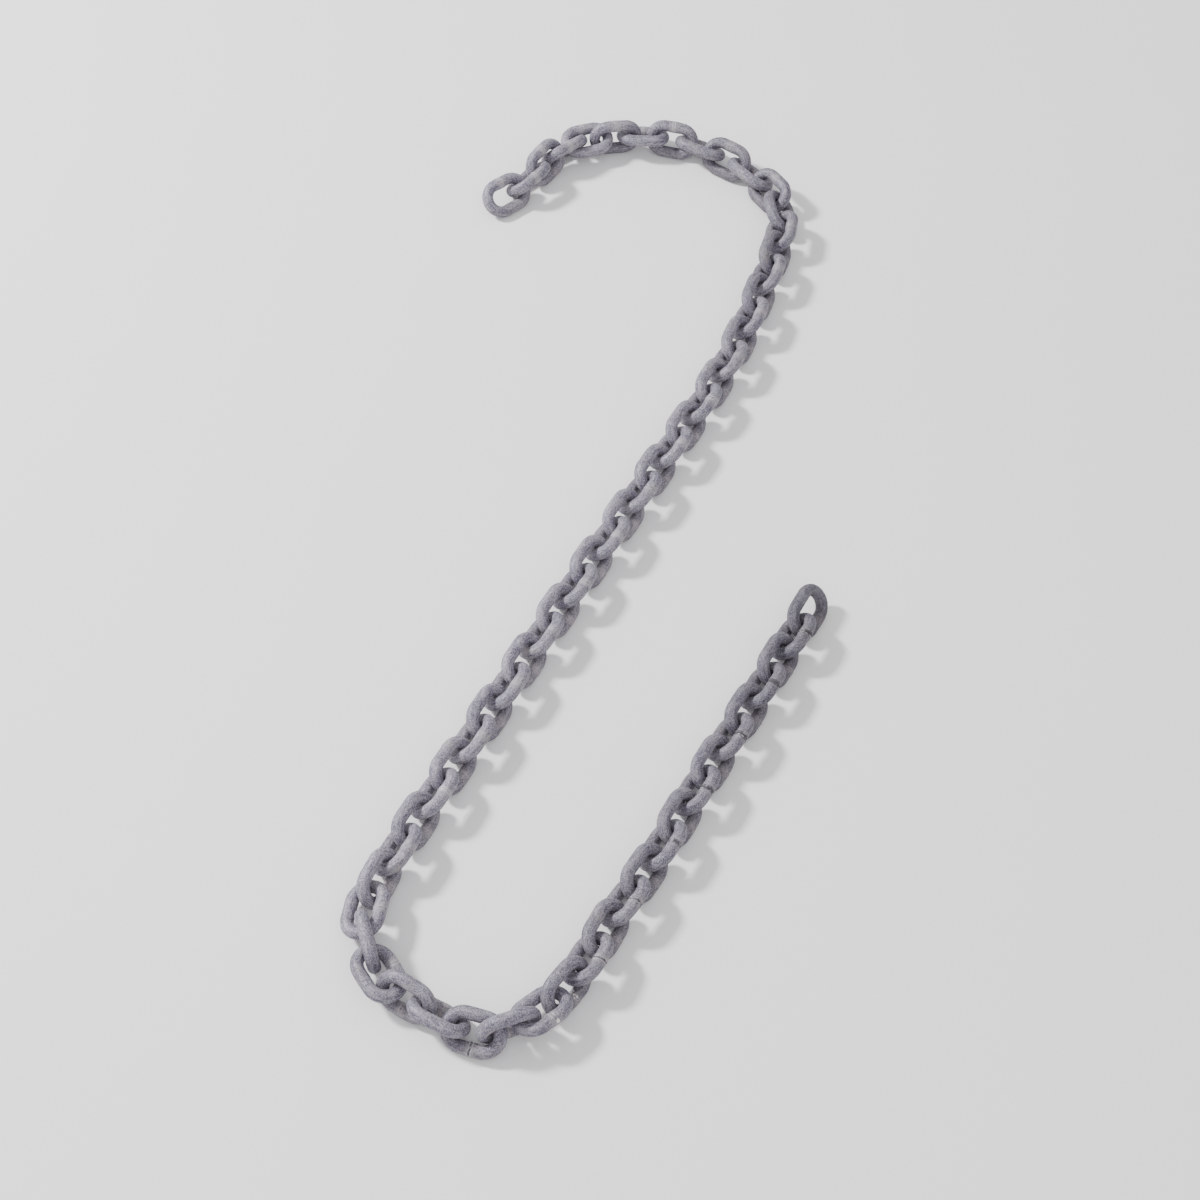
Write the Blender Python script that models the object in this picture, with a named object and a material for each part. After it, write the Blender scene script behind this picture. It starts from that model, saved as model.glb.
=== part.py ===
"""A length of galvanised short-link chain, laid on a floor in a long hook.

Every link is a closed ring of round wire. The links are threaded one through
the next, each turned a quarter turn from its neighbours, and the whole length
lies the way a slack chain does: leaning links, one leg each on the floor.
Metres, +Z up, the floor at z = 0.
"""

import math

import bmesh
import bpy
import numpy as np
from mathutils import Matrix

# ---------------------------------------------------------------- dimensions
MM = 0.001
LINKS = 64                # whole links in the length
WIRE = 10.0 * MM          # diameter of the round wire
PITCH = 28.5 * MM         # inside length of a link
WIDTH = 34.0 * MM         # outside width of a link
CLEARANCE = 0.65 * MM     # air between two wires that bear on each other
BEAD = 2.6 * MM           # radius of the bead that joins the two wires of a joined pair

CROWN_RADIUS = (WIDTH - WIRE) / 2              # middle of the wire, round a crown
LEG_LENGTH = PITCH + WIRE - 2 * CROWN_RADIUS   # straight part of a leg
CROWN_STEPS = 6           # straight pieces that make one crown
SIDES = 8                 # sides of the wire's section

# An eight-sided section with the same area as the round wire.
SECTION_RADIUS = WIRE / 2 * math.sqrt(math.pi / (SIDES / 2 * math.sin(2 * math.pi / SIDES)))

# ------------------------------------------------------------------- the lay
# Where the chain runs: link, x and y of its middle in mm, and how far the
# chain is twisted about its own run there, in degrees. The first twist is
# taken up in the end hook, and the other in the tight bend.
LAY = (
    (1, -122, 1491, 5),
    (2, -102, 1512, 0),
    (3, -90, 1533, -20),
    (4, -75, 1553, 10),
    (5, -55, 1566, 40),
    (6, -29, 1573, 50),
    (7, -7, 1579, 70),
    (8, 21, 1578, 60),
    (9, 49, 1571, 85),
    (11, 95, 1544, 75),
    (12, 114, 1524, 95),
    (13, 124, 1503, 85),
    (14, 125, 1475, 93),
    (16, 114, 1422, 93),
    (20, 85, 1318, 93),
    (24, 41, 1217, 93),
    (28, -4, 1118, 93),
    (32, -49, 1017, 93),
    (36, -92, 918, 93),
    (40, -136, 818, 93),
    (41, -146, 792, 93),
    (42, -157, 765, 115),
    (43, -147, 740, 125),
    (44, -136, 716, 155),
    (45, -117, 702, 165),
    (46, -90, 691, 175),
    (47, -63, 681, 185),
    (48, -40, 687, 225),
    (49, -22, 700, 250),
    (50, -4, 722, 260),
    (51, 9, 746, 260),
    (52, 19, 770, 267),
    (54, 44, 818, 267),
    (58, 89, 916, 267),
    (61, 124, 990, 267),
    (64, 157, 1063, 267),
)
PERCHED = {5: 9.0, 7: 4.0, 42: 5.0, 44: 6.0, 49: 6.0}   # mm that a link is held up by its neighbours
NOSE_UP = {2: 6.0, 4: -5.0, 5: 6.0, 49: 2.0, 51: -3.0}   # degrees that a link slopes along its run

# Links that a small bead joins at their bearing, so that the two are one body.
JOINED = (18, 26, 34, 58)   # first link of each pair

SETTLE_ROUNDS = 400
SETTLE_DONE = 0.002 * MM
SWING_RADIUS = 12.0 * MM    # radius of gyration of a link, for how readily it turns

ZINC = (0.245, 0.24, 0.27, 1.0)
ZINC_METALLIC = 0.55
ZINC_ROUGHNESS = 0.62


# ------------------------------------------------------------------ one link
def link_outline():
    """Middle line of the wire in the link's own plane, x along the link, one closed turn."""
    turn = np.linspace(-math.pi / 2, math.pi / 2, CROWN_STEPS + 1)
    front = np.c_[LEG_LENGTH / 2 + CROWN_RADIUS * np.cos(turn), CROWN_RADIUS * np.sin(turn)]
    return np.r_[front, -front]


def flat_down(frames):
    """How far each link's section is turned about the wire, for a flat of its lower leg to face the floor."""
    return np.arctan2(-frames[:, 2, 2], abs(frames[:, 2, 1]))


def section_corners(frames):
    """Corners of the section all round each link, measured from the link's middle."""
    x, y = link_outline().T
    ahead = np.roll(x, -1) - x, np.roll(y, -1) - y
    ahead /= np.hypot(*ahead)
    tangent = ahead + np.roll(ahead, 1, 1)
    tangent /= np.hypot(*tangent)
    angle = flat_down(frames)[:, None] + (np.arange(SIDES) + 0.5) * 2 * math.pi / SIDES
    outward, up = SECTION_RADIUS * np.cos(angle)[:, None], SECTION_RADIUS * np.sin(angle)[:, None]
    corners = np.stack(
        [
            x[:, None] + tangent[1][:, None] * outward,
            y[:, None] - tangent[0][:, None] * outward,
            np.repeat(up, len(x), 1),
        ],
        1,
    )
    return frames @ corners.reshape(len(frames), 3, -1)


# ------------------------------------------------------- laying out the chain
def smooth_through(knots, values, at):
    """A smooth curve through values given at knots, read off at the places asked for."""
    gap = np.diff(knots)
    slope = np.diff(values, axis=0) / gap[:, None]
    tangent = np.empty_like(values)
    tangent[1:-1] = (slope[:-1] * gap[1:, None] + slope[1:] * gap[:-1, None]) / (gap[1:] + gap[:-1])[:, None]
    tangent[0] = 1.5 * slope[0] - 0.5 * tangent[1]
    tangent[-1] = 1.5 * slope[-1] - 0.5 * tangent[-2]
    i = np.clip(np.searchsorted(knots, at, side="right") - 1, 0, len(knots) - 2)
    s = ((at - knots[i]) / gap[i])[:, None]
    h = gap[i][:, None]
    return (
        (2 * s**3 - 3 * s**2 + 1) * values[i]
        + (s**3 - 2 * s**2 + s) * h * tangent[i]
        + (3 * s**2 - 2 * s**3) * values[i + 1]
        + (s**3 - s**2) * h * tangent[i + 1]
    )


def lay_links():
    """Middle, along-axis and across-axis of every link, before they settle."""
    table = np.array(LAY, float)
    number = np.arange(1.0, LINKS + 1)
    run = lambda at: smooth_through(table[:, 0], table[:, 1:3] * MM, at)
    middle = run(number)
    heading = run(number + 0.5) - run(number - 0.5)
    yaw = np.arctan2(heading[:, 1], heading[:, 0])
    twist = np.radians(np.interp(number, table[:, 0], table[:, 3]))
    lean = twist + np.where(number % 2 == 1, -math.pi / 4, math.pi / 4)
    slope = np.radians([NOSE_UP.get(n, 0.0) for n in range(1, LINKS + 1)])
    perch = MM * np.array([PERCHED.get(n, 0.0) for n in range(1, LINKS + 1)])

    along = np.c_[np.cos(yaw) * np.cos(slope), np.sin(yaw) * np.cos(slope), np.sin(slope)]
    left = np.c_[-np.sin(yaw), np.cos(yaw), np.zeros(LINKS)]
    over = np.cross(along, left)
    across = left * np.cos(lean)[:, None] - over * np.sin(lean)[:, None]
    frames = np.stack([along, across, np.cross(along, across)], 2)
    height = perch - section_corners(frames)[:, 2].min(1)
    return np.c_[middle, height], frames


def nearest_on_segments(a0, a1, b0, b1):
    """Closest points of two rows of segments."""
    u, v, w = a1 - a0, b1 - b0, a0 - b0
    a, b, c = (u * u).sum(1), (u * v).sum(1), (v * v).sum(1)
    d, e = (u * w).sum(1), (v * w).sum(1)
    s = np.clip((b * e - c * d) / np.maximum(a * c - b * b, 1e-15), 0, 1)
    t = np.clip((b * s + e) / c, 0, 1)
    s = np.clip((b * t - d) / a, 0, 1)
    return a0 + s[:, None] * u, b0 + t[:, None] * v


def nearest_of_neighbours(wires):
    """Closest points of each link's wire and the next one's."""
    first, second = wires[:-1], wires[1:]
    points, rows = wires.shape[1], np.arange(len(first))
    apart = ((first[:, :, None] - second[:, None]) ** 2).sum(-1).reshape(len(first), -1)
    i, j = np.divmod(apart.argmin(1), points)
    best = np.full(len(first), np.inf)
    on_first, on_second = np.zeros((2, len(first), 3))
    for di in (-1, 0):
        for dj in (-1, 0):
            p, q = nearest_on_segments(
                first[rows, (i + di) % points], first[rows, (i + di + 1) % points],
                second[rows, (j + dj) % points], second[rows, (j + dj + 1) % points],
            )
            distance = np.linalg.norm(p - q, axis=1)
            closer = distance < best
            on_first[closer], on_second[closer], best[closer] = p[closer], q[closer], distance[closer]
    return on_first, on_second, best


def turn_by(frames, turns):
    """Turns each frame by its own small rotation vector."""
    angle = np.linalg.norm(turns, axis=1)
    axis = np.where(angle[:, None] > 1e-12, turns / np.maximum(angle, 1e-12)[:, None], [0.0, 0.0, 1.0])
    skew = np.zeros((len(turns), 3, 3))
    skew[:, 0, 1], skew[:, 0, 2], skew[:, 1, 2] = -axis[:, 2], axis[:, 1], -axis[:, 0]
    skew -= skew.transpose(0, 2, 1)
    sine, versine = np.sin(angle)[:, None, None], (1 - np.cos(angle))[:, None, None]
    return (np.eye(3) + sine * skew + versine * skew @ skew) @ frames


def wires_of(middle, frames):
    """The middle line of every link's wire, in place."""
    outline = link_outline()
    return middle[:, None] + outline[None, :, :1] * frames[:, None, :, 0] + outline[None, :, 1:] * frames[:, None, :, 1]


def settle(middle, frames):
    """Nudges neighbouring links apart, and up off the floor, until each pair has its distance."""
    ease = 1 / SWING_RADIUS**2
    for _ in range(SETTLE_ROUNDS):
        p, q, apart = nearest_of_neighbours(wires_of(middle, frames))
        push = (q - p) / apart[:, None]
        short = np.maximum(WIRE + CLEARANCE - apart, 0)
        arm_p, arm_q = np.cross(p - middle[:-1], push), np.cross(q - middle[1:], push)
        share = 0.9 * short / (2 + ease * ((arm_p**2).sum(1) + (arm_q**2).sum(1)))
        move, turn = np.zeros((2, LINKS, 3))
        move[:-1] -= share[:, None] * push
        move[1:] += share[:, None] * push
        turn[:-1] -= share[:, None] * ease * arm_p
        turn[1:] += share[:, None] * ease * arm_q

        corners = section_corners(frames)
        lowest = corners[np.arange(LINKS), :, corners[:, 2].argmin(1)]
        sunk = np.maximum(-lowest[:, 2] - middle[:, 2], 0)
        arm = np.cross(lowest, [0.0, 0.0, 1.0])
        lift = 0.9 * sunk / (1 + ease * (arm**2).sum(1))
        move[:, 2] += lift
        turn += lift[:, None] * ease * arm

        middle = middle + move
        frames = turn_by(frames, turn)
        if max(short.max(), sunk.max()) < SETTLE_DONE:
            break
    return middle, frames


# ------------------------------------------------------------------- objects
def zinc(name):
    material = bpy.data.materials.new(name)
    material.use_nodes = True
    shader = material.node_tree.nodes["Principled BSDF"]
    shader.inputs["Base Color"].default_value = ZINC
    shader.inputs["Metallic"].default_value = ZINC_METALLIC
    shader.inputs["Roughness"].default_value = ZINC_ROUGHNESS
    material.diffuse_color = ZINC
    material.metallic = ZINC_METALLIC
    material.roughness = ZINC_ROUGHNESS
    return material


def wire_curve(name, flat):
    """A link as a bevelled closed curve in its own plane, with its section turned to the floor."""
    outline = link_outline()
    curve = bpy.data.curves.new(name, "CURVE")
    curve.dimensions = "3D"
    curve.twist_mode = "Z_UP"
    curve.bevel_depth = SECTION_RADIUS
    curve.bevel_resolution = SIDES // 2 - 2
    spline = curve.splines.new("POLY")
    spline.points.add(len(outline) - 1)
    for point, (x, y) in zip(spline.points, outline):
        point.co = (x, y, 0.0, 1.0)
        point.tilt = -(math.pi / SIDES + flat)
    spline.use_cyclic_u = True
    return curve


def stand(obj, middle, frame):
    obj.location = middle
    obj.rotation_mode = "QUATERNION"
    obj.rotation_quaternion = Matrix(frame.tolist()).to_quaternion()


def as_mesh(obj):
    """The object's evaluated shape as a mesh in world space."""
    graph = bpy.context.evaluated_depsgraph_get()
    evaluated = obj.evaluated_get(graph)
    mesh = bpy.data.meshes.new_from_object(evaluated, depsgraph=graph)
    mesh.transform(evaluated.matrix_world)
    return mesh


def joined_pair(name, links, bearing, collection):
    """Two links and the bead between them, made one body."""
    helpers = []
    for number, (curve, middle, frame) in enumerate(links):
        loose = bpy.data.objects.new(f"{name}_side_{number}", curve)
        collection.objects.link(loose)
        stand(loose, middle, frame)
        helpers.append(loose)
    bpy.context.view_layer.update()
    bodies = []
    for loose in helpers:
        body = bpy.data.objects.new(loose.name + "_body", as_mesh(loose))
        collection.objects.link(body)
        bodies.append(body)
    shape = bmesh.new()
    bmesh.ops.create_icosphere(shape, subdivisions=1, radius=BEAD, matrix=Matrix.Translation(bearing))
    bead = bpy.data.meshes.new(f"{name}_bead")
    shape.to_mesh(bead)
    shape.free()
    bodies.append(bpy.data.objects.new(f"{name}_bead", bead))
    collection.objects.link(bodies[-1])
    for other in (bodies[2], bodies[1]):
        union = bodies[0].modifiers.new(f"join_{other.name}", "BOOLEAN")
        union.operation = "UNION"
        union.solver = "EXACT"
        union.object = other
    bpy.context.view_layer.update()
    pair = bpy.data.objects.new(name, as_mesh(bodies[0]))
    collection.objects.link(pair)
    for helper in helpers + bodies:
        bpy.data.objects.remove(helper)
    return pair


def low_and_high(objects):
    bpy.context.view_layer.update()
    graph = bpy.context.evaluated_depsgraph_get()
    low, high = np.full(3, np.inf), np.full(3, -np.inf)
    for obj in objects:
        evaluated = obj.evaluated_get(graph)
        mesh = evaluated.to_mesh()
        points = np.empty(len(mesh.vertices) * 3)
        mesh.vertices.foreach_get("co", points)
        evaluated.to_mesh_clear()
        world = np.array(evaluated.matrix_world)
        points = points.reshape(-1, 3) @ world[:3, :3].T + world[:3, 3]
        low, high = np.minimum(low, points.min(0)), np.maximum(high, points.max(0))
    return low, high


def main():
    for obj in list(bpy.data.objects):
        bpy.data.objects.remove(obj)
    collection = bpy.data.collections.new("length_of_steel_chain")
    bpy.context.scene.collection.children.link(collection)

    middle, frames = settle(*lay_links())
    flat = flat_down(frames)
    p, q, _ = nearest_of_neighbours(wires_of(middle, frames))
    bearing = (p + q) / 2   # between each link and the next

    objects = []
    number = 1
    while number <= LINKS:
        if number in JOINED:
            name = f"link_{number:02d}_{number + 1:02d}"
            pair = [(wire_curve(f"wire_{n:02d}", flat[n - 1]), middle[n - 1], frames[n - 1]) for n in (number, number + 1)]
            link = joined_pair(name, pair, bearing[number - 1], collection)
            number += 2
        else:
            name = f"link_{number:02d}"
            link = bpy.data.objects.new(name, wire_curve(name, flat[number - 1]))
            collection.objects.link(link)
            stand(link, middle[number - 1], frames[number - 1])
            number += 1
        link.data.materials.clear()
        link.data.materials.append(zinc(f"zinc_{name}"))
        objects.append(link)

    # The whole length hangs from one empty, which brings the middle of its
    # outline over the origin and its lowest flat down to the floor.
    chain = bpy.data.objects.new("chain", None)
    collection.objects.link(chain)
    low, high = low_and_high(objects)
    for link in objects:
        link.parent = chain
    chain.location = (-(low[0] + high[0]) / 2, -(low[1] + high[1]) / 2, -low[2])
    bpy.context.view_layer.update()


main()
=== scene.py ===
"""The length of galvanised chain, dressed: round wire, welds, zinc skin, and a plain pale floor."""

import math

import bpy
import numpy as np
from mathutils import Matrix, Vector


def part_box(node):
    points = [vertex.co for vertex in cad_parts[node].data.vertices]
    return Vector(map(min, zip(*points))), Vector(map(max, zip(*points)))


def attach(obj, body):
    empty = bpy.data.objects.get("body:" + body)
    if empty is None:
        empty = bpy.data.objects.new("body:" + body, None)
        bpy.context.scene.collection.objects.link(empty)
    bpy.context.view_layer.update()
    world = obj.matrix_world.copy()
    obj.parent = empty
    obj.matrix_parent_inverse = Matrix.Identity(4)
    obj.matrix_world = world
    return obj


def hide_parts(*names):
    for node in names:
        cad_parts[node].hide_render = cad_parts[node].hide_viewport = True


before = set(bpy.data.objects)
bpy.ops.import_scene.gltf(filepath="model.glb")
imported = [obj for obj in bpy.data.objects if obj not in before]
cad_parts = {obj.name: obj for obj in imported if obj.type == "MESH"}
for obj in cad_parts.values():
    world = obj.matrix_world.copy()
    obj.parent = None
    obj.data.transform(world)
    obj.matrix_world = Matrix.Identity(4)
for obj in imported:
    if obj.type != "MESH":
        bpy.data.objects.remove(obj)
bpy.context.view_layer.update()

# ---------------------------------------------------------------- dimensions
# The chain's own dimensions and lay, the same as the solids have, in metres.
MM = 0.001
LINKS = 64
WIRE = 10.0 * MM
PITCH = 28.5 * MM
WIDTH = 34.0 * MM
CLEARANCE = 0.65 * MM
CROWN_RADIUS = (WIDTH - WIRE) / 2
LEG_LENGTH = PITCH + WIRE - 2 * CROWN_RADIUS
CROWN_STEPS = 6
SIDES = 8
SECTION_RADIUS = WIRE / 2 * math.sqrt(math.pi / (SIDES / 2 * math.sin(2 * math.pi / SIDES)))
LAY = (
    (1, -122, 1491, 5),
    (2, -102, 1512, 0),
    (3, -90, 1533, -20),
    (4, -75, 1553, 10),
    (5, -55, 1566, 40),
    (6, -29, 1573, 50),
    (7, -7, 1579, 70),
    (8, 21, 1578, 60),
    (9, 49, 1571, 85),
    (11, 95, 1544, 75),
    (12, 114, 1524, 95),
    (13, 124, 1503, 85),
    (14, 125, 1475, 93),
    (16, 114, 1422, 93),
    (20, 85, 1318, 93),
    (24, 41, 1217, 93),
    (28, -4, 1118, 93),
    (32, -49, 1017, 93),
    (36, -92, 918, 93),
    (40, -136, 818, 93),
    (41, -146, 792, 93),
    (42, -157, 765, 115),
    (43, -147, 740, 125),
    (44, -136, 716, 155),
    (45, -117, 702, 165),
    (46, -90, 691, 175),
    (47, -63, 681, 185),
    (48, -40, 687, 225),
    (49, -22, 700, 250),
    (50, -4, 722, 260),
    (51, 9, 746, 260),
    (52, 19, 770, 267),
    (54, 44, 818, 267),
    (58, 89, 916, 267),
    (61, 124, 990, 267),
    (64, 157, 1063, 267),
)
PERCHED = {5: 9.0, 7: 4.0, 42: 5.0, 44: 6.0, 49: 6.0}
NOSE_UP = {2: 6.0, 4: -5.0, 5: 6.0, 49: 2.0, 51: -3.0}
JOINED = (18, 26, 34, 58)
SETTLE_ROUNDS = 400
SETTLE_DONE = 0.002 * MM
SWING_RADIUS = 12.0 * MM


# ------------------------------------------------------- laying out the chain
def link_outline():
    turn = np.linspace(-math.pi / 2, math.pi / 2, CROWN_STEPS + 1)
    front = np.c_[LEG_LENGTH / 2 + CROWN_RADIUS * np.cos(turn), CROWN_RADIUS * np.sin(turn)]
    return np.r_[front, -front]


def section_corners(frames):
    x, y = link_outline().T
    ahead = np.roll(x, -1) - x, np.roll(y, -1) - y
    ahead /= np.hypot(*ahead)
    tangent = ahead + np.roll(ahead, 1, 1)
    tangent /= np.hypot(*tangent)
    flat = np.arctan2(-frames[:, 2, 2], abs(frames[:, 2, 1]))
    angle = flat[:, None] + (np.arange(SIDES) + 0.5) * 2 * math.pi / SIDES
    outward, up = SECTION_RADIUS * np.cos(angle)[:, None], SECTION_RADIUS * np.sin(angle)[:, None]
    corners = np.stack(
        [
            x[:, None] + tangent[1][:, None] * outward,
            y[:, None] - tangent[0][:, None] * outward,
            np.repeat(up, len(x), 1),
        ],
        1,
    )
    return frames @ corners.reshape(len(frames), 3, -1)


def smooth_through(knots, values, at):
    gap = np.diff(knots)
    slope = np.diff(values, axis=0) / gap[:, None]
    tangent = np.empty_like(values)
    tangent[1:-1] = (slope[:-1] * gap[1:, None] + slope[1:] * gap[:-1, None]) / (gap[1:] + gap[:-1])[:, None]
    tangent[0] = 1.5 * slope[0] - 0.5 * tangent[1]
    tangent[-1] = 1.5 * slope[-1] - 0.5 * tangent[-2]
    i = np.clip(np.searchsorted(knots, at, side="right") - 1, 0, len(knots) - 2)
    s = ((at - knots[i]) / gap[i])[:, None]
    h = gap[i][:, None]
    return (
        (2 * s**3 - 3 * s**2 + 1) * values[i]
        + (s**3 - 2 * s**2 + s) * h * tangent[i]
        + (3 * s**2 - 2 * s**3) * values[i + 1]
        + (s**3 - s**2) * h * tangent[i + 1]
    )


def lay_links():
    table = np.array(LAY, float)
    number = np.arange(1.0, LINKS + 1)
    run = lambda at: smooth_through(table[:, 0], table[:, 1:3] * MM, at)
    middle = run(number)
    heading = run(number + 0.5) - run(number - 0.5)
    yaw = np.arctan2(heading[:, 1], heading[:, 0])
    twist = np.radians(np.interp(number, table[:, 0], table[:, 3]))
    lean = twist + np.where(number % 2 == 1, -math.pi / 4, math.pi / 4)
    slope = np.radians([NOSE_UP.get(n, 0.0) for n in range(1, LINKS + 1)])
    perch = MM * np.array([PERCHED.get(n, 0.0) for n in range(1, LINKS + 1)])
    along = np.c_[np.cos(yaw) * np.cos(slope), np.sin(yaw) * np.cos(slope), np.sin(slope)]
    left = np.c_[-np.sin(yaw), np.cos(yaw), np.zeros(LINKS)]
    over = np.cross(along, left)
    across = left * np.cos(lean)[:, None] - over * np.sin(lean)[:, None]
    frames = np.stack([along, across, np.cross(along, across)], 2)
    height = perch - section_corners(frames)[:, 2].min(1)
    return np.c_[middle, height], frames


def nearest_on_segments(a0, a1, b0, b1):
    u, v, w = a1 - a0, b1 - b0, a0 - b0
    a, b, c = (u * u).sum(1), (u * v).sum(1), (v * v).sum(1)
    d, e = (u * w).sum(1), (v * w).sum(1)
    s = np.clip((b * e - c * d) / np.maximum(a * c - b * b, 1e-15), 0, 1)
    t = np.clip((b * s + e) / c, 0, 1)
    s = np.clip((b * t - d) / a, 0, 1)
    return a0 + s[:, None] * u, b0 + t[:, None] * v


def nearest_of_neighbours(wires):
    first, second = wires[:-1], wires[1:]
    points, rows = wires.shape[1], np.arange(len(first))
    apart = ((first[:, :, None] - second[:, None]) ** 2).sum(-1).reshape(len(first), -1)
    i, j = np.divmod(apart.argmin(1), points)
    best = np.full(len(first), np.inf)
    on_first, on_second = np.zeros((2, len(first), 3))
    for di in (-1, 0):
        for dj in (-1, 0):
            p, q = nearest_on_segments(
                first[rows, (i + di) % points], first[rows, (i + di + 1) % points],
                second[rows, (j + dj) % points], second[rows, (j + dj + 1) % points],
            )
            distance = np.linalg.norm(p - q, axis=1)
            closer = distance < best
            on_first[closer], on_second[closer], best[closer] = p[closer], q[closer], distance[closer]
    return on_first, on_second, best


def turn_by(frames, turns):
    angle = np.linalg.norm(turns, axis=1)
    axis = np.where(angle[:, None] > 1e-12, turns / np.maximum(angle, 1e-12)[:, None], [0.0, 0.0, 1.0])
    skew = np.zeros((len(turns), 3, 3))
    skew[:, 0, 1], skew[:, 0, 2], skew[:, 1, 2] = -axis[:, 2], axis[:, 1], -axis[:, 0]
    skew -= skew.transpose(0, 2, 1)
    sine, versine = np.sin(angle)[:, None, None], (1 - np.cos(angle))[:, None, None]
    return (np.eye(3) + sine * skew + versine * skew @ skew) @ frames


def settle(middle, frames):
    outline = link_outline()
    ease = 1 / SWING_RADIUS**2
    for _ in range(SETTLE_ROUNDS):
        wires = middle[:, None] + outline[None, :, :1] * frames[:, None, :, 0] + outline[None, :, 1:] * frames[:, None, :, 1]
        p, q, apart = nearest_of_neighbours(wires)
        push = (q - p) / apart[:, None]
        short = np.maximum(WIRE + CLEARANCE - apart, 0)
        arm_p, arm_q = np.cross(p - middle[:-1], push), np.cross(q - middle[1:], push)
        share = 0.9 * short / (2 + ease * ((arm_p**2).sum(1) + (arm_q**2).sum(1)))
        move, turn = np.zeros((2, LINKS, 3))
        move[:-1] -= share[:, None] * push
        move[1:] += share[:, None] * push
        turn[:-1] -= share[:, None] * ease * arm_p
        turn[1:] += share[:, None] * ease * arm_q
        corners = section_corners(frames)
        lowest = corners[np.arange(LINKS), :, corners[:, 2].argmin(1)]
        sunk = np.maximum(-lowest[:, 2] - middle[:, 2], 0)
        arm = np.cross(lowest, [0.0, 0.0, 1.0])
        lift = 0.9 * sunk / (1 + ease * (arm**2).sum(1))
        move[:, 2] += lift
        turn += lift[:, None] * ease * arm
        middle = middle + move
        frames = turn_by(frames, turn)
        if max(short.max(), sunk.max()) < SETTLE_DONE:
            break
    return middle, frames


def into_frame(middle, frames):
    """Moves the lay so that its outline's middle is over the origin, and says where the camera's foot went."""
    corners = section_corners(frames) + middle[:, :, None]
    low, high = corners.min((0, 2)), corners.max((0, 2))
    shift = np.array([-(low[0] + high[0]) / 2, -(low[1] + high[1]) / 2, -low[2]])
    return middle + shift, shift


middle, frames = settle(*lay_links())
middle, shift = into_frame(middle, frames)

# Every link has to be where its solid is.
corners = section_corners(frames) + middle[:, :, None]
worst = 0.0
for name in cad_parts:
    numbers = [int(n) - 1 for n in name.split("_")[1:]]
    mine = corners[numbers].min((0, 2)), corners[numbers].max((0, 2))
    worst = max(worst, float(np.abs(np.array(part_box(name)) - np.array(mine)).max()))
print(f"links stand within {worst * 1000:.3f} mm of their solids")
if worst > 0.2 * MM:
    raise SystemExit("the lay here isn't the lay of the packed solids")


# ------------------------------------------------------------- smooth noise
class Noise:
    """Gradient noise in three dimensions, the same on every run."""

    def __init__(self, seed):
        rng = np.random.default_rng(seed)
        self.order = rng.permutation(256)
        slopes = rng.normal(size=(256, 3))
        self.slopes = slopes / np.linalg.norm(slopes, axis=1)[:, None]

    def at(self, points, size):
        """About -0.7 to 0.7, with lumps of this size."""
        p = points / size
        cell = np.floor(p).astype(int)
        f = p - cell
        fade = f**3 * (f * (f * 6 - 15) + 10)
        total = np.zeros(len(p))
        for dx in (0, 1):
            for dy in (0, 1):
                for dz in (0, 1):
                    h = self.order[(cell[:, 0] + dx) & 255]
                    h = self.order[(h + cell[:, 1] + dy) & 255]
                    h = self.order[(h + cell[:, 2] + dz) & 255]
                    away = f - np.array([dx, dy, dz])
                    part = (self.slopes[h] * away).sum(1)
                    weight = np.ones(len(p))
                    for axis, d in enumerate((dx, dy, dz)):
                        weight *= fade[:, axis] if d else 1 - fade[:, axis]
                    total += weight * part
        return total


LUMPS, GRAIN, SPOTS, RIPPLE = Noise(11), Noise(12), Noise(13), Noise(14)


def smoothstep(low, high, x):
    """0 at low and 1 at high, which may be the smaller."""
    t = np.clip((x - low) / (high - low), 0, 1)
    return t * t * (3 - 2 * t)


# ------------------------------------------------------------------ the links
AROUND = 48               # corners round the wire
ALONG = 128               # stations along the wire
WELD_HALF = 4.5 * MM      # half the stretch with closer stations
WELD_STATIONS = 40
RADIUS = 4.97 * MM        # of the dressed wire, so that its zinc skin stays off the floor and the neighbours

PERIMETER = 2 * LEG_LENGTH + 2 * math.pi * CROWN_RADIUS


def on_link(s):
    """Point and direction of the middle line, s metres on from the middle of the upper leg, in the link's own plane."""
    s = np.mod(s, PERIMETER)
    x, y, tx, ty = (np.zeros_like(s) for _ in range(4))
    half, arc = LEG_LENGTH / 2, math.pi * CROWN_RADIUS
    # upper leg (y > 0), running towards -x
    on = s < half
    x[on], y[on], tx[on] = -s[on], CROWN_RADIUS, -1
    # crown at -x
    on = (s >= half) & (s < half + arc)
    a = math.pi / 2 + (s[on] - half) / CROWN_RADIUS
    x[on], y[on] = -half + CROWN_RADIUS * np.cos(a), CROWN_RADIUS * np.sin(a)
    tx[on], ty[on] = -np.sin(a), np.cos(a)
    # lower leg, running towards +x
    on = (s >= half + arc) & (s < 3 * half + arc)
    x[on], y[on], tx[on] = -half + (s[on] - half - arc), -CROWN_RADIUS, 1
    # crown at +x
    on = (s >= 3 * half + arc) & (s < 3 * half + 2 * arc)
    a = -math.pi / 2 + (s[on] - 3 * half - arc) / CROWN_RADIUS
    x[on], y[on] = half + CROWN_RADIUS * np.cos(a), CROWN_RADIUS * np.sin(a)
    tx[on], ty[on] = -np.sin(a), np.cos(a)
    # rest of the upper leg
    on = s >= 3 * half + 2 * arc
    x[on], y[on], tx[on] = PERIMETER - s[on], CROWN_RADIUS, -1
    return np.c_[x, y], np.c_[tx, ty]


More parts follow.
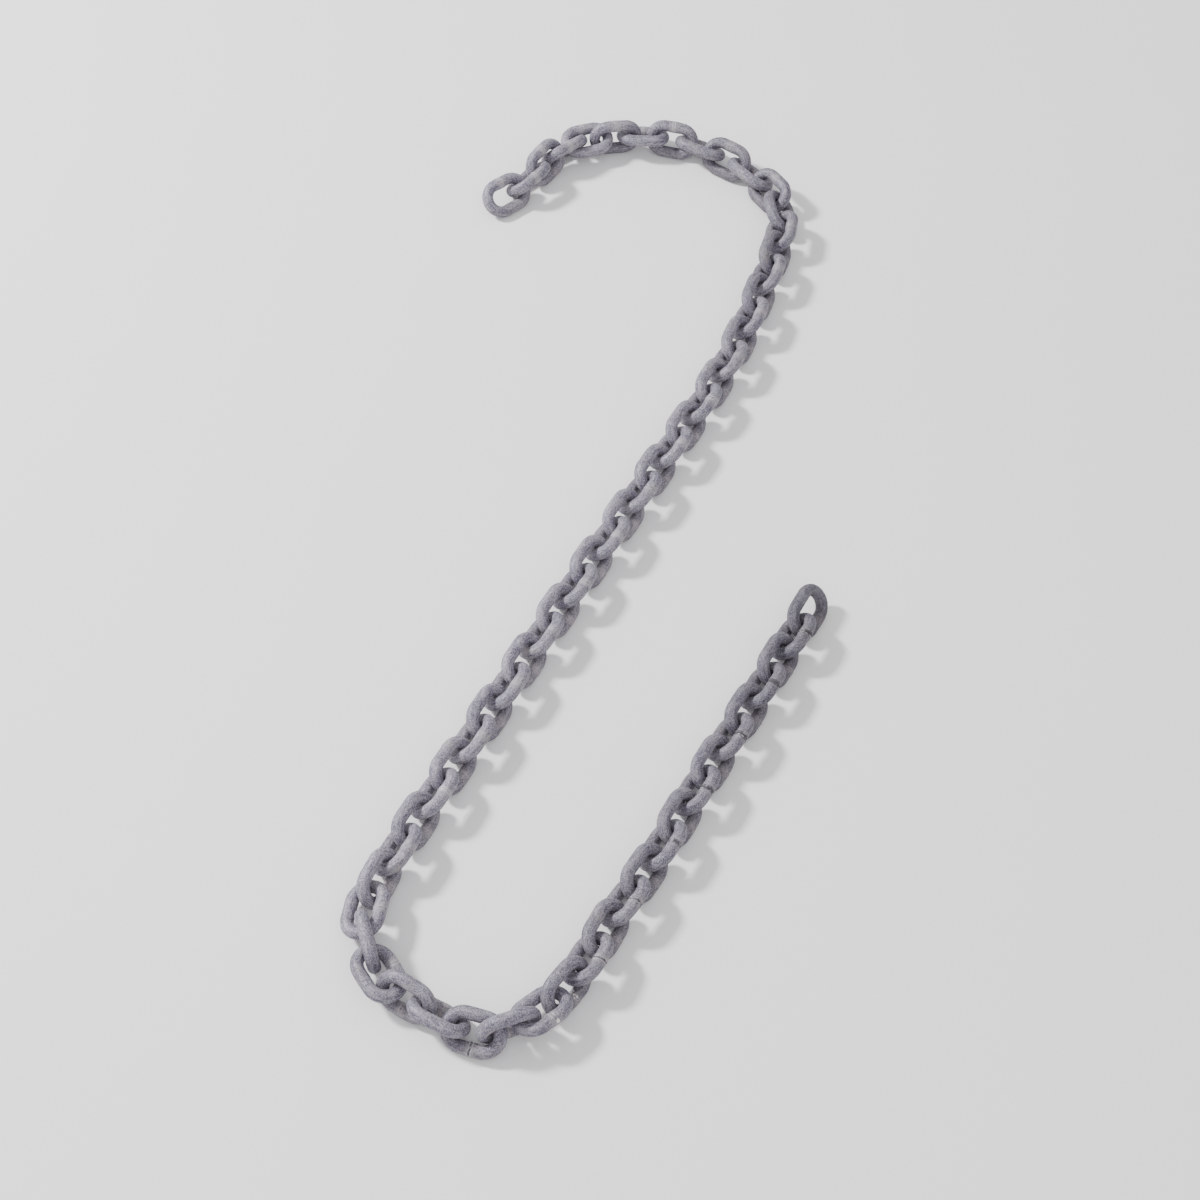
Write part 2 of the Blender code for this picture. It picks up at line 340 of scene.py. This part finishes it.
def stations(weld_at):
    """Places along the wire, closer together at the weld, from one end of the closer stretch round to it again."""
    close = np.linspace(-WELD_HALF, WELD_HALF, WELD_STATIONS, endpoint=False)
    far = np.linspace(WELD_HALF, PERIMETER - WELD_HALF, ALONG - WELD_STATIONS, endpoint=False)
    return weld_at + np.r_[close, far]


def middle_lines():
    s = np.linspace(0, PERIMETER, 160, endpoint=False)
    flat, _ = on_link(s)
    return middle[:, None] + flat[None, :, :1] * frames[:, None, :, 0] + flat[None, :, 1:] * frames[:, None, :, 1]


LINES = middle_lines()

# How light the zinc is along the chain, and the welds that stand out more than most.
LIGHTNESS = ((1, 1.08), (7, 1.08), (10, 0.86), (14, 0.86), (19, 0.98), (27, 1.10), (40, 1.12), (44, 1.0), (47, 0.97), (52, 0.90), (58, 0.82), (61, 0.71), (64, 0.62))
OPEN_WELDS = {22: 0.7, 26: 0.6, 42: 0.45, 47: 0.9, 49: 0.6, 51: 0.9, 53: 0.6, 57: 1.1, 59: 1.1, 61: 1.0, 63: 0.9}
BANDED = {51: 0.4, 53: 0.6, 55: 0.75, 57: 1.0, 59: 1.0, 61: 1.0, 63: 1.0}   # welds with a broad gritty band
# a pale splash by the weld: its reach and how far off it is, in mm, the way it faces, and if it is broken up in specks
SPLASHED = {49: (1.5, -0.9, (0.30, -0.80, 0.55), False), 50: (2.4, 0.3, (0, -0.55, 0.83), True)}


def weld_leg(number):
    """Which leg of a link is welded: the links were made and threaded alike, so it goes by turns."""
    return 1 if number % 2 else -1


def link_surface(number):
    """Corner points of a dressed link and what the zinc needs to know at each, station by station."""
    rng = np.random.default_rng(500 + number)
    k = number - 1
    weld_at = (0.0 if weld_leg(number) == 1 else PERIMETER / 2) + rng.uniform(-1.2, 1.2) * MM
    gape = OPEN_WELDS.get(number, rng.uniform(0.05, 0.3))   # how open the weld's groove is
    proud = rng.uniform(0.3, 0.7) + 0.45 * gape             # how much the weld stands out
    lean = rng.uniform(-0.35, 0.35)      # how far the weld's ring runs askew
    lean_to = rng.uniform(0, 2 * math.pi)
    turn = rng.uniform(0, 2 * math.pi)
    lightness = np.interp(number, *zip(*LIGHTNESS)) * (1 + 0.045 * rng.normal())

    s = stations(weld_at)
    flat, tangent = on_link(s)
    outward = np.c_[tangent[:, 1], -tangent[:, 0]]
    inside = np.sign((outward * flat).sum(1))
    outward *= inside[:, None]           # away from the eye of the link
    angle = np.arange(AROUND) * 2 * math.pi / AROUND
    # bending leaves the section a little flatter through a crown
    bend = smoothstep(LEG_LENGTH / 2 - 1 * MM, LEG_LENGTH / 2 + 5 * MM, abs(flat[:, 0]))
    radial = RADIUS * (1 - 0.022 * bend)
    lateral = RADIUS * (1 + 0.008 * bend)

    cos, sin = np.cos(angle), np.sin(angle)
    # surface points and their unit normals in the link's plane frame
    place = np.zeros((ALONG, AROUND, 3))
    normal = np.zeros((ALONG, AROUND, 3))
    place[..., :2] = flat[:, None] + outward[:, None] * (radial[:, None] * cos)[..., None]
    place[..., 2] = lateral[:, None] * sin
    normal[..., :2] = outward[:, None] * cos[None, :, None]
    normal[..., 2] = sin

    world = place @ frames[k].T + middle[k]
    points = world.reshape(-1, 3)

    # zinc skin: soft lumps, finer grain, and here and there a run or a nodule
    lumps = 0.17 * LUMPS.at(points, 7 * MM) + 0.11 * GRAIN.at(points, 3.1 * MM) + 0.075 * RIPPLE.at(points, 1.5 * MM)
    spots = SPOTS.at(points, 4.2 * MM) + 0.35 * GRAIN.at(points + 3.0, 1.7 * MM)
    nodules = 0.32 * smoothstep(0.42, 0.66, spots)
    dents = -0.22 * smoothstep(0.36, 0.6, -spots)
    height = (lumps + nodules + dents).reshape(ALONG, AROUND)

    # the weld: an upset swelling, a pitted groove, the lips of flash beside it and the faint rings beyond
    off = s - weld_at
    off = np.where(off > PERIMETER / 2, off - PERIMETER, off) / MM
    ring = off[:, None] + lean * np.cos(angle - lean_to) * 2 + 0.22 * np.sin(3 * angle + turn)
    wave = 0.85 + 1.1 * RIPPLE.at(points + 7.0, 2.4 * MM).reshape(ALONG, AROUND)
    swell = 0.34 * proud * np.exp(-((ring / 2.9) ** 2))
    lips = 0.34 * proud * wave * (np.exp(-(((ring - 1.15) / 0.5) ** 2)) + 0.75 * np.exp(-(((ring + 1.25) / 0.6) ** 2)))
    rings = 0.13 * wave * (np.exp(-(((ring - 2.9) / 0.4) ** 2)) + np.exp(-(((ring + 3.2) / 0.4) ** 2)))
    bitten = np.clip(0.55 + 1.5 * GRAIN.at(points + 5.0, 2.0 * MM), 0, 1.2).reshape(ALONG, AROUND)
    breadth = 0.55 + 0.6 * max(gape - 0.35, 0)   # an open groove is broader too
    groove = -0.62 * gape * bitten * np.exp(-((ring / breadth) ** 2))
    height += swell + lips + rings + groove
    weld = np.clip(lips / 0.26 + rings / 0.24, 0, 1)
    scorch = np.exp(-((ring / 4.2) ** 2))
    crumbs = np.clip(0.75 + 1.4 * RIPPLE.at(points + 9.0, 1.5 * MM), 0, 1.3).reshape(ALONG, AROUND)
    banded = BANDED.get(number, 0)
    gap = gape * np.maximum(bitten, 0.45 + 0.25 * banded) * np.maximum(crumbs, 0.6 * banded) * np.exp(-((ring / (1.1 * breadth)) ** 4))
    grit = np.clip(0.55 + 1.9 * RIPPLE.at(points + 4.0, 1.7 * MM), 0, 1).reshape(ALONG, AROUND)
    gap = np.maximum(gap, 0.95 * banded * grit * np.exp(-((ring / 2.1) ** 4)))
    # the band ends in a fine dark ring on either side
    ends = banded * np.maximum(crumbs, 0.5) * np.exp(-(((abs(ring) - 2.0) / 0.42) ** 2))
    gap = np.maximum(gap, 0.6 * ends)
    height -= 0.12 * banded * grit * np.exp(-((ring / 2.1) ** 4)) + 0.10 * ends
    splash = np.zeros((ALONG, AROUND))
    if number in SPLASHED:
        reach, beyond, facing, specks = SPLASHED[number]
        upper = angle[(normal[abs(off).argmin()] @ frames[k].T @ np.array(facing)).argmax()]
        blot = np.hypot(off[:, None] - beyond, (np.mod(angle - upper + math.pi, 2 * math.pi) - math.pi) * RADIUS / MM)
        blot = blot / reach + 0.35 * GRAIN.at(points + 2.0, 1.3 * MM).reshape(ALONG, AROUND)
        edge = np.exp(-(((blot - 1.25) / 0.2) ** 2))
        blot = smoothstep(1.1, 0.8, blot) * (0.9 * grit**3 if specks else 1)
        height += 0.25 * blot
        gap = np.maximum(gap * (1 - blot), (0.2 if specks else 0.45) * edge)
        splash = blot

    # where the neighbours bear, the skin is rubbed down
    near = np.full(len(points), np.inf)
    for other in (k - 1, k + 1):
        if 0 <= other < LINKS:
            for block in range(0, len(points), 2048):
                d = np.linalg.norm(points[block : block + 2048, None] - LINES[other][None], axis=2).min(1)
                near[block : block + 2048] = np.minimum(near[block : block + 2048], d)
    air = (near - WIRE / 2) / MM
    rub = 1 - smoothstep(0.4, 1.5, air).reshape(ALONG, AROUND)
    # close: how near the neighbours come, for painted shade in the eyes and between the links
    close = 1 - smoothstep(0.5, 5.0, air).reshape(ALONG, AROUND)
    height = height * (1 - 0.8 * rub)

    world_normal = normal @ frames[k].T
    # and the skin never reaches under the floor
    skin = world + world_normal * (height * MM)[..., None]
    skin[..., 2] = np.maximum(skin[..., 2], 0.02 * MM)
    # painted shade: darker where the wire faces down, and a little on its sides
    painted_underside_shade = smoothstep(-0.3, 0.8, -world_normal[..., 2])
    facts = {
        "weld": weld,
        "gap": gap,
        "rub": rub,
        "close": close,
        "painted_underside_shade": painted_underside_shade,
        "tone": np.full((ALONG, AROUND), lightness),
        "scorch": scorch,
        "splash": splash,
        # low: painted shade on the wire near the floor
        "low": smoothstep(17.0, 4.0, skin[..., 2] / MM),
        "proud": np.clip(0.5 + height, 0, 1),
    }
    # the wire as it would lie straightened out, with the seam in the weld
    straight = np.zeros((ALONG, AROUND, 3))
    straight[..., 0] = np.repeat((s - weld_at)[:, None], AROUND, 1) + number * 0.11
    straight[..., 1] = RADIUS * np.cos(angle)
    straight[..., 2] = RADIUS * np.sin(angle) + number * 0.013
    return skin, facts, s - weld_at, straight


def link_piece(name, numbers):
    """One mesh with these links in it, its facts as attributes, and a map that lies along the wire."""
    verts, faces, uvs, straights = [], [], [], []
    facts = {}
    bands = 2 * len(numbers)
    for order, number in enumerate(numbers):
        skin, told, s, straight = link_surface(number)
        base = order * ALONG * AROUND
        verts.append(skin.reshape(-1, 3))
        straights.append(straight.reshape(-1, 3))
        for key, value in told.items():
            facts.setdefault(key, []).append(value.reshape(-1))
        i, j = np.meshgrid(np.arange(ALONG), np.arange(AROUND), indexing="ij")
        i2, j2 = (i + 1) % ALONG, (j + 1) % AROUND
        quad = np.stack([i * AROUND + j, i2 * AROUND + j, i2 * AROUND + j2, i * AROUND + j2], -1).reshape(-1, 4) + base
        faces.append(quad)
        # the map: two bands, half the wire in each
        ends = np.r_[s - s[0], PERIMETER] / PERIMETER * 2
        half = (ends[:-1] + 1e-9 >= 1).astype(int)
        half = np.repeat(half[:, None], AROUND, 1)
        u0, u1 = ends[i] - half, ends[i + 1] - half
        v0, v1 = j / AROUND, (j + 1) / AROUND
        lane = 2 * order + half
        put = lambda u, v: np.stack([0.01 + 0.98 * np.clip(u, 0, 1.02), (lane + 0.01 + 0.98 * v) / bands], -1)
        uvs.append(np.stack([put(u0, v0), put(u1, v0), put(u1, v1), put(u0, v1)], 2).reshape(-1, 2))
    verts, faces = np.concatenate(verts), np.concatenate(faces)
    mesh = bpy.data.meshes.new(name)
    mesh.vertices.add(len(verts))
    mesh.vertices.foreach_set("co", verts.ravel())
    mesh.loops.add(faces.size)
    mesh.loops.foreach_set("vertex_index", faces.ravel())
    mesh.polygons.add(len(faces))
    mesh.polygons.foreach_set("loop_start", np.arange(0, faces.size, 4))
    mesh.update(calc_edges=True)
    mesh.validate()
    for key, parts in facts.items():
        attribute = mesh.attributes.new(key, "FLOAT", "POINT")
        attribute.data.foreach_set("value", np.concatenate(parts).astype(np.float32))
    attribute = mesh.attributes.new("straight", "FLOAT_VECTOR", "POINT")
    attribute.data.foreach_set("vector", np.concatenate(straights).astype(np.float32).ravel())
    layer = mesh.uv_layers.new(name="OFBake")
    layer.data.foreach_set("uv", np.concatenate(uvs).astype(np.float32).ravel())
    mesh.shade_smooth()
    # outward normals
    volume = signed_volume(verts, faces)
    if volume < 0:
        mesh.flip_normals()
    piece = bpy.data.objects.new(name, mesh)
    bpy.context.scene.collection.objects.link(piece)
    return piece


def signed_volume(verts, faces):
    a, b, c, d = (verts[faces[:, n]] for n in range(4))
    return float(((a * np.cross(b, c)).sum(1) + (a * np.cross(c, d)).sum(1)).sum() / 6)


# ------------------------------------------------------------------ materials
class Nodes:
    """A material's nodes, added in the order the colour is built up."""

    def __init__(self, name):
        self.material = bpy.data.materials.new(name)
        self.material.use_nodes = True
        self.tree = self.material.node_tree
        self.shader = self.tree.nodes["Principled BSDF"]

    def new(self, kind, **settings):
        node = self.tree.nodes.new(kind)
        for key, value in settings.items():
            setattr(node, key, value)
        return node

    def join(self, source, socket):
        self.tree.links.new(source, socket)

    def coordinates(self):
        return self.new("ShaderNodeTexCoord").outputs["Object"]

    def noise(self, at, size_mm, detail=2.0, rough=0.5, seed=0.0, warp=0.0):
        moved = self.new("ShaderNodeVectorMath", operation="ADD")
        self.join(at, moved.inputs[0])
        moved.inputs[1].default_value = (0.37 * seed, -0.53 * seed, 0.71 * seed)
        node = self.new("ShaderNodeTexNoise", noise_dimensions="3D")
        self.join(moved.outputs["Vector"], node.inputs["Vector"])
        node.inputs["Scale"].default_value = 1000.0 / size_mm
        node.inputs["Detail"].default_value = detail
        node.inputs["Roughness"].default_value = rough
        node.inputs["Distortion"].default_value = warp
        return node.outputs["Fac"]

    def fact(self, name):
        return self.new("ShaderNodeAttribute", attribute_name=name).outputs["Fac"]

    def ramp(self, source, low, high, to_low=0.0, to_high=1.0, smooth=True):
        node = self.new("ShaderNodeMapRange", interpolation_type="SMOOTHSTEP" if smooth else "LINEAR", clamp=True)
        self.join(source, node.inputs["Value"])
        node.inputs["From Min"].default_value = low
        node.inputs["From Max"].default_value = high
        node.inputs["To Min"].default_value = to_low
        node.inputs["To Max"].default_value = to_high
        return node.outputs["Result"]

    def maths(self, operation, a, b=None, clamp=False):
        node = self.new("ShaderNodeMath", operation=operation, use_clamp=clamp)
        for socket, value in zip(node.inputs, (a, b)):
            if value is None:
                continue
            if isinstance(value, (int, float)):
                socket.default_value = value
            else:
                self.join(value, socket)
        return node.outputs["Value"]

    def mix(self, factor, a, b, how="MIX"):
        node = self.new("ShaderNodeMix", data_type="RGBA", blend_type=how)
        for socket, value in ((node.inputs[0], factor), (node.inputs[6], a), (node.inputs[7], b)):
            if isinstance(value, (int, float)):
                socket.default_value = value
            elif isinstance(value, tuple):
                socket.default_value = (*value, 1.0)
            else:
                self.join(value, socket)
        return node.outputs[2]

    def bump(self, height, strength, distance_mm, before=None):
        node = self.new("ShaderNodeBump")
        node.inputs["Strength"].default_value = strength
        node.inputs["Distance"].default_value = distance_mm * MM
        self.join(height, node.inputs["Height"])
        if before is not None:
            self.join(before, node.inputs["Normal"])
        return node.outputs["Normal"]


CAST = (0.638, 0.618, 0.67)   # the cool grey of the whole chain


def zinc_material():
    n = Nodes("weathered_zinc")
    at = n.coordinates()
    wire = n.new("ShaderNodeAttribute", attribute_name="straight").outputs["Vector"]
    drawn = n.new("ShaderNodeMapping", vector_type="POINT")
    drawn.inputs["Scale"].default_value = (0.2, 1.0, 1.0)
    n.join(wire, drawn.inputs["Vector"])
    drawn = drawn.outputs["Vector"]
    run = n.new("ShaderNodeMapping", vector_type="POINT")
    run.inputs["Scale"].default_value = (0.6, 1.0, 1.0)
    n.join(wire, run.inputs["Vector"])
    run = run.outputs["Vector"]

    # cloudy patches, with the cool violet cast of old zinc in the darker ones
    cloud = n.noise(at, 17.0, detail=2.0, rough=0.55, seed=1.0)
    colour = n.mix(n.ramp(cloud, 0.38, 0.62), (0.225, 0.212, 0.268), (0.340, 0.326, 0.362))
    patch = n.noise(at, 6.0, detail=3.0, rough=0.6, seed=2.0, warp=0.6)
    colour = n.mix(n.maths("MULTIPLY", n.ramp(patch, 0.50, 0.66), 0.50), colour, (0.45, 0.435, 0.460))
    colour = n.mix(n.maths("MULTIPLY", n.ramp(patch, 0.46, 0.32), 0.38), colour, (0.150, 0.140, 0.190))

    # faint streaks from drawing the wire
    streak = n.noise(drawn, 2.2, detail=2.0, rough=0.65, seed=8.0)
    colour = n.mix(n.maths("MULTIPLY", n.ramp(streak, 0.51, 0.62), 0.55), colour, (0.52, 0.51, 0.52))
    colour = n.mix(n.maths("MULTIPLY", n.ramp(streak, 0.48, 0.36), 0.52), colour, (0.13, 0.12, 0.16))

    # the speckle of white zinc salts, clustered, and dark flecks between
    speckle = n.noise(run, 1.9, detail=4.0, rough=0.72, seed=3.0)
    where = n.ramp(n.noise(at, 10.0, detail=1.0, seed=9.0), 0.40, 0.60, 0.35, 1.0)
    white = n.maths("MULTIPLY", n.ramp(speckle, 0.53, 0.64), where)
    colour = n.mix(n.maths("MULTIPLY", white, 0.62), colour, (0.66, 0.65, 0.67))
    colour = n.mix(n.maths("MULTIPLY", n.ramp(speckle, 0.46, 0.32), 0.42), colour, (0.11, 0.102, 0.135))
    grain = n.noise(at, 0.75, detail=2.0, rough=0.7, seed=4.0)
    colour = n.mix(n.maths("MULTIPLY", n.ramp(grain, 0.52, 0.62), 0.62), colour, (0.72, 0.71, 0.72))
    colour = n.mix(n.maths("MULTIPLY", n.ramp(grain, 0.48, 0.38), 0.62), colour, (0.07, 0.065, 0.088))

    # what stands proud is paler, what lies low is darker
    proud = n.fact("proud")
    colour = n.mix(n.maths("MULTIPLY", n.ramp(proud, 0.60, 0.88), 0.55), colour, (0.66, 0.65, 0.66))
    colour = n.mix(n.maths("MULTIPLY", n.ramp(proud, 0.42, 0.22), 0.50), colour, (0.11, 0.10, 0.135))

    # a few warm patches, dusty beige
    warm = n.noise(at, 24.0, detail=4.0, rough=0.62, seed=5.0)
    warm = n.maths("MULTIPLY", n.ramp(warm, 0.58, 0.68), n.ramp(speckle, 0.38, 0.60))
    colour = n.mix(n.maths("MULTIPLY", warm, 0.55), colour, (0.46, 0.425, 0.365))

    # pits
    pits = n.new("ShaderNodeTexVoronoi", feature="F1")
    n.join(at, pits.inputs["Vector"])
    pits.inputs["Scale"].default_value = 1000.0 / 2.6
    pit = n.maths("MULTIPLY", n.ramp(pits.outputs["Distance"], 0.30, 0.14), n.ramp(n.noise(at, 9.0, detail=1.0, seed=6.0), 0.50, 0.60))
    colour = n.mix(n.maths("MULTIPLY", pit, 0.6), colour, (0.07, 0.065, 0.085))

    # welds: a paler, speckled stretch, bright rubbed flash and a dark pitted groove
    weld, gap, scorch = n.fact("weld"), n.fact("gap"), n.fact("scorch")
    colour = n.mix(n.maths("MULTIPLY", scorch, n.ramp(speckle, 0.40, 0.56, 0.15, 0.62)), colour, (0.58, 0.55, 0.52))
    colour = n.mix(n.maths("MULTIPLY", n.ramp(weld, 0.25, 1.0), 0.64), colour, (0.74, 0.72, 0.70))
    colour = n.mix(n.maths("MULTIPLY", n.ramp(gap, 0.12, 0.60), 0.85), colour, (0.075, 0.07, 0.085))

    # painted shade in the eyes, between the links, on the undersides and near the floor, and bearings rubbed to dull
    # metal
    close, painted_underside_shade, rub = n.fact("close"), n.fact("painted_underside_shade"), n.fact("rub")
    painted_shade = n.maths("MAXIMUM", n.maths("MULTIPLY", close, 0.13), n.maths("MULTIPLY", painted_underside_shade, 0.46))
    painted_shade = n.maths("MAXIMUM", painted_shade, n.maths("MULTIPLY", n.fact("low"), 0.46))
    painted_shade = n.maths("MULTIPLY", painted_shade, n.ramp(speckle, 0.30, 0.60, 1.0, 0.65))
    # the warm dark colour of the painted shade
    colour = n.mix(painted_shade, colour, (0.150, 0.126, 0.124))
    colour = n.mix(n.maths("MULTIPLY", rub, 0.35), colour, (0.24, 0.235, 0.25))
    colour = n.mix(1.0, colour, CAST, "MULTIPLY")

    # each link came out of the bath a little lighter or darker
    tone = n.fact("tone")
    shade = n.new("ShaderNodeCombineColor")
    for socket in shade.inputs:
        n.join(tone, socket)
    colour = n.mix(1.0, colour, shade.outputs["Color"], "MULTIPLY")
    colour = n.mix(n.maths("MULTIPLY", n.fact("splash"), 0.85), colour, (0.80, 0.79, 0.78))
    n.join(colour, n.shader.inputs["Base Color"])

    rough = n.ramp(patch, 0.3, 0.7, 0.62, 0.76)
    rough = n.maths("SUBTRACT", rough, n.maths("MULTIPLY", n.maths("MAXIMUM", rub, n.ramp(weld, 0.4, 1.0)), 0.18))
    n.join(rough, n.shader.inputs["Roughness"])
    n.shader.inputs["Metallic"].default_value = 0.35
    n.shader.inputs["Specular IOR Level"].default_value = 0.4

    relief = n.maths("ADD", n.maths("MULTIPLY", speckle, 0.6), n.maths("MULTIPLY", grain, 0.4))
    n.join(n.bump(relief, 0.55, 0.26), n.shader.inputs["Normal"])
    return n.material


def floor_material():
    n = Nodes("pale_floor")
    at = n.coordinates()
    cloud = n.noise(at, 260.0, detail=3.0, seed=1.0)
    n.join(n.mix(cloud, (0.87, 0.87, 0.87), (0.895, 0.895, 0.895)), n.shader.inputs["Base Color"])
    n.shader.inputs["Roughness"].default_value = 0.9
    n.shader.inputs["Specular IOR Level"].default_value = 0.2
    return n.material


# ------------------------------------------------------------------ the pieces
zinc = zinc_material()
for name in sorted(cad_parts):
    numbers = [int(n) for n in name.split("_")[1:]]
    piece = link_piece("wire_" + name, numbers)
    piece.data.materials.append(zinc)
    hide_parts(name)
    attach(piece, "root")

floor_mesh = bpy.data.meshes.new("floor")
floor_mesh.from_pydata([(-6, -6, -0.0001), (6, -6, -0.0001), (6, 6, -0.0001), (-6, 6, -0.0001)], [], [(0, 1, 2, 3)])
floor = bpy.data.objects.new("floor", floor_mesh)
bpy.context.scene.collection.objects.link(floor)
floor_mesh.materials.append(floor_material())

# ------------------------------------------------------------ camera and light
FOCAL = 2308.1            # in pixels of the 1200 pixel frame
TILT, ROLL = 0.957, -0.088
EYE_HEIGHT = 1.4746
CENTRE = (604.65, 629.04)

camera_data = bpy.data.cameras.new("camera")
camera = bpy.data.objects.new("camera", camera_data)
bpy.context.scene.collection.objects.link(camera)
camera_data.sensor_width = 36.0
camera_data.sensor_fit = "HORIZONTAL"
camera_data.lens = FOCAL * 36.0 / 1200
camera_data.shift_x = (600 - CENTRE[0]) / 1200
camera_data.shift_y = (CENTRE[1] - 600) / 1200
camera_data.clip_start, camera_data.clip_end = 0.05, 50.0
forward = np.array([0, math.cos(TILT), -math.sin(TILT)])
up = np.array([0, math.sin(TILT), math.cos(TILT)])
right = np.array([1.0, 0, 0])
c, s = math.cos(ROLL), math.sin(ROLL)
across, upward = c * right - s * up, s * right + c * up
matrix = np.eye(4)
matrix[:3, 0], matrix[:3, 1], matrix[:3, 2] = across, upward, -forward
matrix[:3, 3] = np.array([0, 0, EYE_HEIGHT]) + shift
camera.matrix_world = Matrix(matrix.tolist())
bpy.context.scene.camera = camera


def area(name, place, target, size, power, colour=(1, 1, 1)):
    data = bpy.data.lights.new(name, "AREA")
    data.shape = "RECTANGLE"
    data.size, data.size_y = size
    data.energy = power
    data.color = colour
    light = bpy.data.objects.new(name, data)
    bpy.context.scene.collection.objects.link(light)
    z = np.array(place, float) - np.array(target, float)
    z /= np.linalg.norm(z)
    x = np.cross([0, 1, 0] if abs(z[2]) > 0.95 else [0, 0, 1], z)
    x /= np.linalg.norm(x)
    turned = np.eye(4)
    turned[:3, 0], turned[:3, 1], turned[:3, 2], turned[:3, 3] = x, np.cross(z, x), z, place
    light.matrix_world = Matrix(turned.tolist())
    return light


area("key", (-2.48, 0.66, 2.23), (0, 0, 0), (0.42, 0.42), 185)
area("fill", (0.6, -2.0, 2.6), (0, 0, 0), (2.6, 2.6), 22)

world = bpy.data.worlds.new("studio")
world.use_nodes = True
world.node_tree.nodes["Background"].inputs["Color"].default_value = (0.97, 0.955, 0.985, 1.0)
world.node_tree.nodes["Background"].inputs["Strength"].default_value = 0.96
bpy.context.scene.world = world
